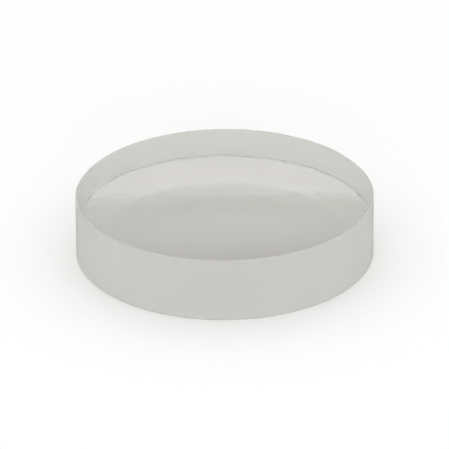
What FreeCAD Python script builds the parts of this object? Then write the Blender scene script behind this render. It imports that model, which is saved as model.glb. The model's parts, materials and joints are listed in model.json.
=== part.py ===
"""Biconcave lens: one round disc of optical glass, hollowed on both faces.

Each face is a polished sphere. The edge is ground to a cylinder, and a small bevel
is ground on each rim so that the glass doesn't chip. The disc is thinnest on its
axis and thickest at its edge, so it lies on its lower rim.

+Z is the optical axis. The origin is on it, in the plane that the lower rim lies on.
Lengths are in millimetres.
"""

import FreeCAD
import Part

import math
import os

# Driving dimensions
DIAMETER = 25.4  # ground edge, the size that a lens cell takes
CENTRE_THICKNESS = 3.5  # on the axis, from one hollow to the other
LOWER_FACE_RADIUS = 76.0  # radius of curvature of the lower polished face
UPPER_FACE_RADIUS = 76.0  # radius of curvature of the upper polished face
LOWER_BEVEL = 0.15  # legs of the bevel, at 45 degrees, on the lower rim
UPPER_BEVEL = 0.15  # legs of the bevel, at 45 degrees, on the upper rim


def sag(face_radius, distance):
    """How far a spherical face has curved away at this distance from the axis."""
    return face_radius - math.sqrt(face_radius**2 - distance**2)


# Places that follow from the driving dimensions
EDGE_RADIUS = DIAMETER / 2.0
LOWER_RIM_RADIUS = EDGE_RADIUS - LOWER_BEVEL
UPPER_RIM_RADIUS = EDGE_RADIUS - UPPER_BEVEL
LOWER_VERTEX_Z = sag(LOWER_FACE_RADIUS, LOWER_RIM_RADIUS)
UPPER_VERTEX_Z = LOWER_VERTEX_Z + CENTRE_THICKNESS
LOWER_RIM_Z = 0.0
UPPER_RIM_Z = UPPER_VERTEX_Z + sag(UPPER_FACE_RADIUS, UPPER_RIM_RADIUS)


def at(distance, z):
    """A point of the half section, which lies in the XZ plane."""
    return FreeCAD.Vector(distance, 0.0, z)


def polished_arc(face_radius, vertex_z, rim_radius, outward):
    """Section of one face, from its vertex to its rim. Outward is 1 above and -1 below."""
    half_way = rim_radius / 2.0
    vertex = at(0.0, vertex_z)
    middle = at(half_way, vertex_z + outward * sag(face_radius, half_way))
    rim = at(rim_radius, vertex_z + outward * sag(face_radius, rim_radius))
    return Part.Arc(vertex, middle, rim).toShape()


def ground_lines():
    """Section of the ground glass: the lower bevel, the edge and the upper bevel."""
    corners = [
        at(LOWER_RIM_RADIUS, LOWER_RIM_Z),
        at(EDGE_RADIUS, LOWER_RIM_Z + LOWER_BEVEL),
        at(EDGE_RADIUS, UPPER_RIM_Z - UPPER_BEVEL),
        at(UPPER_RIM_RADIUS, UPPER_RIM_Z),
    ]
    return Part.makePolygon(corners).Edges


def half_section():
    """The closed outline of one half of the lens, from its axis out to its edge."""
    lower_face = polished_arc(LOWER_FACE_RADIUS, LOWER_VERTEX_Z, LOWER_RIM_RADIUS, -1)
    upper_face = polished_arc(UPPER_FACE_RADIUS, UPPER_VERTEX_Z, UPPER_RIM_RADIUS, 1)
    axis = Part.makeLine(at(0.0, LOWER_VERTEX_Z), at(0.0, UPPER_VERTEX_Z))
    edges = [lower_face, *ground_lines(), upper_face, axis]
    return Part.Face(Part.Wire(Part.__sortEdges__(edges)))


def lens():
    """The half section turned once about the optical axis."""
    return half_section().revolve(at(0.0, 0.0), FreeCAD.Vector(0, 0, 1), 360)


def main():
    os.makedirs("parts", exist_ok=True)
    solid = lens()
    solid.exportStep("parts/lens.step")
    print(
        f"lens: {solid.ShapeType}, valid {solid.isValid()}, volume {solid.Volume:.2f} mm3,"
        f" thickness {CENTRE_THICKNESS:.3f} mm at the middle and {UPPER_RIM_Z:.3f} mm at the edge"
    )


main()
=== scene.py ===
import json
import math

import bmesh
import bpy
from mathutils import Matrix, Vector


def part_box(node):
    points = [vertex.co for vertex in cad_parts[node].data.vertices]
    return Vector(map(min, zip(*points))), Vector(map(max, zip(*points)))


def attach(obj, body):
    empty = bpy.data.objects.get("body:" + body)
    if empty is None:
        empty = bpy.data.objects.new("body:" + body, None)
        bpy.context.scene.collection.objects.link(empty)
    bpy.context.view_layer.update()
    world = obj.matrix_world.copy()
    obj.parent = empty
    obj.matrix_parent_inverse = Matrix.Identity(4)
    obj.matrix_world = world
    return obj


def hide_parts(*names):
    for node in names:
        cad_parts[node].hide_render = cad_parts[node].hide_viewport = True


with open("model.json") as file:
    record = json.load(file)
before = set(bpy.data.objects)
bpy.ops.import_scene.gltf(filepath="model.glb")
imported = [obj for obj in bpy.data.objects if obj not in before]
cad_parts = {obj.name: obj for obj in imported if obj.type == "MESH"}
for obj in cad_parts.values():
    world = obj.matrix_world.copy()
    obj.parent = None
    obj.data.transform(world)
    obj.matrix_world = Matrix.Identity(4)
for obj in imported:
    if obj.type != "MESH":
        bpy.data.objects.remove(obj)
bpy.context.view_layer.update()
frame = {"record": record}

# The photograph's view. Lengths are in metres and angles in degrees, here and below, unless a name says mm
CAMERA_ELEVATION = 26.754
CAMERA_DISTANCE = 0.467
CAMERA_ROLL = -0.398
CAMERA_LENS_MM = 438.72
SENSOR_WIDTH_MM = 36.0
NEAREST_SEEN, FARTHEST_SEEN = 0.01, 50.0
AIM = Vector((-0.000018, 0.0, 0.002596))

# The lens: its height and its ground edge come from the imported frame
LOW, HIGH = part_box("lens")
EDGE_MOUNT = frame["record"]["mounts"][0]
HEIGHT = HIGH.z - LOW.z
MIDDLE_Z = (HIGH.z + LOW.z) / 2.0
EDGE_RADIUS = EDGE_MOUNT["dims"]["r_mm"] / 1000.0
BEVEL = (HEIGHT - EDGE_MOUNT["dims"]["length_mm"] / 1000.0) / 2.0
RIM_RADIUS = EDGE_RADIUS - BEVEL
# Radius of curvature of both polished faces
FACE_RADIUS = 0.076

# How finely the lens is divided, round its axis and from rim to middle
SEGMENTS = 384
RINGS = 60
# Edges that turn by less than this look smooth, so the rims and bevels stay crisp
SMOOTH_BELOW = 20.0

# Surfaces, in the order of the lens's material slots
POLISHED, GROUND = 0, 1
# A polygon is part of a polished face where its normal's upright share, up or down, is more than this
POLISHED_NORMAL_Z = 0.9

# The glass
GLASS_INDEX = 1.517
# The clear glass's green-grey, and the lilac of a painted coating reflection
CLEAR_TINT, LILAC_PAINTED_REFLECTION = "#EBEDE8", "#F0DAED"
# Where a face is seen nearly from its edge, the glass's colour turns to lilac, a painted reflection of the
# coating; 0 is straight on and 1 is the edge
PAINTED_REFLECTION_FROM, PAINTED_REFLECTION_TO = 0.65, 0.72
# Softer than a real polish, to match how softly the photograph shows what lies inside the glass
POLISH_ROUGHNESS = 0.11

# The ground surfaces: pits of about 0.03 mm, drawn four times as coarse so that they show
PIT = 0.00003
DRAWN_PIT = 4.0 * PIT
PIT_DETAIL = 2.0
PIT_STRENGTH = 0.25
PIT_COLOUR, RIDGE_COLOUR = "#E2E3DF", "#EAEBE7"
SMOOTHEST, ROUGHEST = 0.96, 1.0
# The noise seldom leaves this part of its range
NOISE_LOW, NOISE_HIGH = 0.3, 0.7
# The share of the light that passes into the glass; the rest is scattered at the surface
GROUND_TRANSMISSION = 0.65

# The studio. A brightness of 1 is that of a white surface in full light
FLOOR_SIZE = 6.0
HORIZON_BRIGHTNESS, OVERHEAD_BRIGHTNESS = 0.19, 0.97
OVERHEAD_FROM = 30.0
WALL_COLOUR = "#FEFFFE"
GLOW_BRIGHTNESS = 0.38
GLOW_ELEVATION = 45.0
GLOW_REACH = 42.0
GLOW_COLOUR = "#FFE9F7"
SOFTBOX_DISTANCE = 1.0
SOFTBOX_ELEVATION = 10.0
SOFTBOX_WIDTH, SOFTBOX_HEIGHT = 1.2, 0.34
SOFTBOX_BRIGHTNESS = 2.2

# A Mix node repeats its input and output names for each kind of value, so those for colours go by number
MIX_FACTOR, MIX_FIRST, MIX_SECOND = 0, 6, 7
MIX_RESULT = 2


def deselect_all():
    bpy.ops.object.select_all(action="DESELECT")


def linear(hex_colour):
    """An sRGB hex colour as the linear colour with alpha that a shader takes."""
    out = []
    for i in (1, 3, 5):
        c = int(hex_colour[i : i + 2], 16) / 255.0
        out.append(c / 12.92 if c <= 0.04045 else ((c + 0.055) / 1.055) ** 2.4)
    return (*out, 1.0)


def add_node(tree, kind, settings=None, links=None):
    """A node of this kind, with its settings, input values and incoming links.

    An input goes by its name, or by its number where it shares its name with others.
    """
    node = tree.nodes.new(kind)
    for key, value in (settings or {}).items():
        if isinstance(key, int) or key in node.inputs:
            node.inputs[key].default_value = value
        else:
            setattr(node, key, value)
    for key, socket in (links or {}).items():
        tree.links.new(socket, node.inputs[key])
    return node


def new_material(name):
    """An empty material, ready for its nodes."""
    material = bpy.data.materials.new(name)
    material.use_nodes = True
    material.node_tree.nodes.clear()
    return material


def polished_glass():
    """Crown glass, ground, polished until it is clear and given a thin coating against reflections.

    The polish shows what lies behind it, bent and a little soft. The glass is green-grey, and where a face
    is seen nearly from its edge a trace of lilac is painted into its colour: a painted reflection of the
    coating.
    """
    material = new_material("polished_crown_glass_with_painted_reflection")
    tree = material.node_tree
    angle = add_node(tree, "ShaderNodeLayerWeight", {"Blend": 0.5})
    # How far the painted lilac reflection has come in, by the angle at which the face is seen
    painted_reflection_share = add_node(
        tree,
        "ShaderNodeMapRange",
        {"From Min": PAINTED_REFLECTION_FROM, "From Max": PAINTED_REFLECTION_TO},
        {"Value": angle.outputs["Facing"]},
    )
    # The glass's green-grey, turning to the painted lilac coating reflection near a face's edge
    tint_and_painted_reflection = add_node(
        tree,
        "ShaderNodeMix",
        {"data_type": "RGBA", MIX_FIRST: linear(CLEAR_TINT), MIX_SECOND: linear(LILAC_PAINTED_REFLECTION)},
        {MIX_FACTOR: painted_reflection_share.outputs[0]},
    )
    shader = add_node(
        tree,
        "ShaderNodeBsdfPrincipled",
        {"Roughness": POLISH_ROUGHNESS, "IOR": GLASS_INDEX, "Transmission Weight": 1.0},
        {"Base Color": tint_and_painted_reflection.outputs[MIX_RESULT]},
    )
    add_node(tree, "ShaderNodeOutputMaterial", links={"Surface": shader.outputs[0]})
    return material


def ground_glass():
    """The same glass as the grinding left it: matt and evenly lit from within, with a fine even grit."""
    material = new_material("fine_ground_crown_glass")
    tree = material.node_tree
    place = add_node(tree, "ShaderNodeTexCoord")
    grit = add_node(
        tree,
        "ShaderNodeTexNoise",
        {"Scale": 1.0 / DRAWN_PIT, "Detail": PIT_DETAIL},
        {"Vector": place.outputs["Object"]},
    )
    colour = add_node(
        tree,
        "ShaderNodeMix",
        {"data_type": "RGBA", MIX_FIRST: linear(PIT_COLOUR), MIX_SECOND: linear(RIDGE_COLOUR)},
        {MIX_FACTOR: grit.outputs[0]},
    )
    roughness = add_node(
        tree,
        "ShaderNodeMapRange",
        {"From Min": NOISE_LOW, "From Max": NOISE_HIGH, "To Min": SMOOTHEST, "To Max": ROUGHEST},
        {"Value": grit.outputs[0]},
    )
    pits = add_node(
        tree,
        "ShaderNodeBump",
        {"Strength": PIT_STRENGTH, "Distance": PIT},
        {"Height": grit.outputs[0]},
    )
    shader = add_node(
        tree,
        "ShaderNodeBsdfPrincipled",
        {"IOR": GLASS_INDEX, "Transmission Weight": GROUND_TRANSMISSION},
        {
            "Base Color": colour.outputs[MIX_RESULT],
            "Roughness": roughness.outputs[0],
            "Normal": pits.outputs[0],
        },
    )
    add_node(tree, "ShaderNodeOutputMaterial", links={"Surface": shader.outputs[0]})
    return material


def sag(distance):
    """How far a spherical face has curved away at this distance from the axis."""
    return FACE_RADIUS - math.sqrt(FACE_RADIUS**2 - distance**2)


def lens_blank():
    """A plain disc of the lens's full height and diameter, before any face is hollowed."""
    bpy.ops.mesh.primitive_cylinder_add(
        vertices=SEGMENTS,
        radius=EDGE_RADIUS,
        depth=HEIGHT,
        end_fill_type="NGON",
        location=(0, 0, MIDDLE_Z),
    )
    piece = bpy.context.object
    piece.name = "biconcave_lens"
    bpy.ops.object.transform_apply(location=True, rotation=True, scale=True)
    return piece


def bevel_rims(mesh):
    """Cuts a bevel on both rims. Their edges are level, and the wall's upright ones are left out."""
    bm = bmesh.from_edit_mesh(mesh)
    for edge in bm.edges:
        edge.select_set(abs(edge.verts[0].co.z - edge.verts[1].co.z) < HEIGHT / 2.0)
    bmesh.update_edit_mesh(mesh)
    bpy.ops.mesh.bevel(offset=BEVEL, segments=1, affect="EDGES")


def select_end_face(mesh, side):
    """Selects the flat face that closes this end of the disc: side is 1 above and -1 below."""
    bm = bmesh.from_edit_mesh(mesh)
    bm.select_mode = {"FACE"}
    for face in bm.faces:
        face.select_set(False)
    end = max(bm.faces, key=lambda f: (len(f.verts), side * f.calc_center_median().z))
    end.select_set(True)
    bmesh.update_edit_mesh(mesh)


def hollow(mesh, side):
    """Sinks one end into its spherical hollow, ring by ring, and closes it in a point."""
    select_end_face(mesh, side)
    step = RIM_RADIUS / RINGS
    for ring in range(1, RINGS):
        outer = RIM_RADIUS - (ring - 1) * step
        inner = RIM_RADIUS - ring * step
        bpy.ops.mesh.inset(thickness=step, depth=0.0)
        bpy.ops.transform.translate(value=(0, 0, side * (sag(inner) - sag(outer))))
    # The last face has a radius of one step. Its inner half is sunk to the middle's depth and merged there
    bpy.ops.mesh.inset(thickness=step / 2.0, depth=0.0)
    bpy.ops.transform.translate(value=(0, 0, -side * sag(step)))
    bpy.ops.mesh.merge(type="CENTER")


def make_lens():
    """The lens in place of its CAD node: bevelled, hollowed above and below, and finished."""
    deselect_all()
    piece = lens_blank()
    mesh = piece.data
    bpy.ops.object.mode_set(mode="EDIT")
    bpy.ops.mesh.select_mode(type="EDGE")
    bpy.ops.mesh.select_all(action="DESELECT")
    bevel_rims(mesh)
    bpy.ops.mesh.select_mode(type="FACE")
    for side in (1, -1):
        hollow(mesh, side)
    bpy.ops.object.mode_set(mode="OBJECT")
    bpy.ops.object.shade_smooth_by_angle(angle=math.radians(SMOOTH_BELOW))
    mesh.materials.append(polished_glass())
    mesh.materials.append(ground_glass())
    for polygon in mesh.polygons:
        polygon.material_index = POLISHED if abs(polygon.normal.z) > POLISHED_NORMAL_Z else GROUND
    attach(piece, "root")
    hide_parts("lens")


def floor_material():
    """Smooth white board, matt on its face: evenly white, with no reflections."""
    material = new_material("matt_white_board")
    tree = material.node_tree
    shader = add_node(
        tree,
        "ShaderNodeBsdfPrincipled",
        {"Base Color": linear("#FFFFFF"), "Roughness": 1.0, "Specular IOR Level": 0.0},
    )
    add_node(tree, "ShaderNodeOutputMaterial", links={"Surface": shader.outputs[0]})
    return material


def make_floor():
    deselect_all()
    bpy.ops.mesh.primitive_plane_add(size=FLOOR_SIZE, location=(0, 0, LOW.z))
    floor = bpy.context.object
    floor.name = "floor"
    floor.data.materials.append(floor_material())


def make_world():
    """Pale studio walls, darker towards the horizon, with a large rosy glow high up behind the lens."""
    world = bpy.data.worlds.new("studio")
    world.use_nodes = True
    bpy.context.scene.world = world
    tree = world.node_tree
    tree.nodes.clear()
    direction = add_node(tree, "ShaderNodeTexCoord").outputs["Generated"]
    height = add_node(tree, "ShaderNodeSeparateXYZ", links={"Vector": direction})
    wall_brightness = add_node(
        tree,
        "ShaderNodeMapRange",
        {
            "From Max": math.sin(math.radians(OVERHEAD_FROM)),
            "To Min": HORIZON_BRIGHTNESS,
            "To Max": OVERHEAD_BRIGHTNESS,
        },
        {"Value": height.outputs["Z"]},
    )
    rise = math.radians(GLOW_ELEVATION)
    towards_glow = add_node(
        tree,
        "ShaderNodeVectorMath",
        {"operation": "DOT_PRODUCT", 1: (0.0, math.cos(rise), math.sin(rise))},
        {0: direction},
    )
    glow_brightness = add_node(
        tree,
        "ShaderNodeMapRange",
        {
            "interpolation_type": "SMOOTHSTEP",
            "From Min": math.cos(math.radians(GLOW_REACH)),
            "From Max": 1.0,
            "To Min": 0.0,
            "To Max": GLOW_BRIGHTNESS,
        },
        {"Value": towards_glow.outputs["Value"]},
    )
    walls = add_node(
        tree,
        "ShaderNodeBackground",
        {"Color": linear(WALL_COLOUR)},
        {"Strength": wall_brightness.outputs[0]},
    )
    glow = add_node(
        tree,
        "ShaderNodeBackground",
        {"Color": linear(GLOW_COLOUR)},
        {"Strength": glow_brightness.outputs[0]},
    )
    both = add_node(tree, "ShaderNodeAddShader", links={0: walls.outputs[0], 1: glow.outputs[0]})
    add_node(tree, "ShaderNodeOutputWorld", links={"Surface": both.outputs[0]})


def make_softbox():
    """A wide soft lamp, low on the photograph's side of the lens, that faces it."""
    rise = math.radians(SOFTBOX_ELEVATION)
    light = bpy.data.lights.new("front_softbox", "AREA")
    light.shape = "RECTANGLE"
    light.size, light.size_y = SOFTBOX_WIDTH, SOFTBOX_HEIGHT
    light.energy = SOFTBOX_BRIGHTNESS * math.pi * SOFTBOX_WIDTH * SOFTBOX_HEIGHT
    lamp = bpy.data.objects.new("front_softbox", light)
    outwards = Vector((0, -math.cos(rise), math.sin(rise)))
    lamp.location = SOFTBOX_DISTANCE * outwards
    lamp.rotation_euler = (-outwards).to_track_quat("-Z", "Y").to_euler()
    bpy.context.scene.collection.objects.link(lamp)


def make_camera():
    """The camera of the photograph, which looks down on the lens and is turned a little about its view."""
    tilt = math.radians(CAMERA_ELEVATION)
    roll = math.radians(CAMERA_ROLL)
    back = Vector((0, -math.cos(tilt), math.sin(tilt)))
    right = Vector((1, 0, 0))
    up = back.cross(right)
    across = math.cos(roll) * right + math.sin(roll) * up
    upward = -math.sin(roll) * right + math.cos(roll) * up
    data = bpy.data.cameras.new("camera")
    data.lens = CAMERA_LENS_MM
    data.sensor_width = SENSOR_WIDTH_MM
    data.clip_start, data.clip_end = NEAREST_SEEN, FARTHEST_SEEN
    camera = bpy.data.objects.new("camera", data)
    turn = Matrix((across, upward, back)).transposed().to_4x4()
    camera.matrix_world = Matrix.Translation(AIM + CAMERA_DISTANCE * back) @ turn
    bpy.context.scene.collection.objects.link(camera)
    bpy.context.scene.camera = camera


bpy.context.scene.view_settings.view_transform = "Standard"
make_camera()
make_world()
make_softbox()
make_floor()
make_lens()
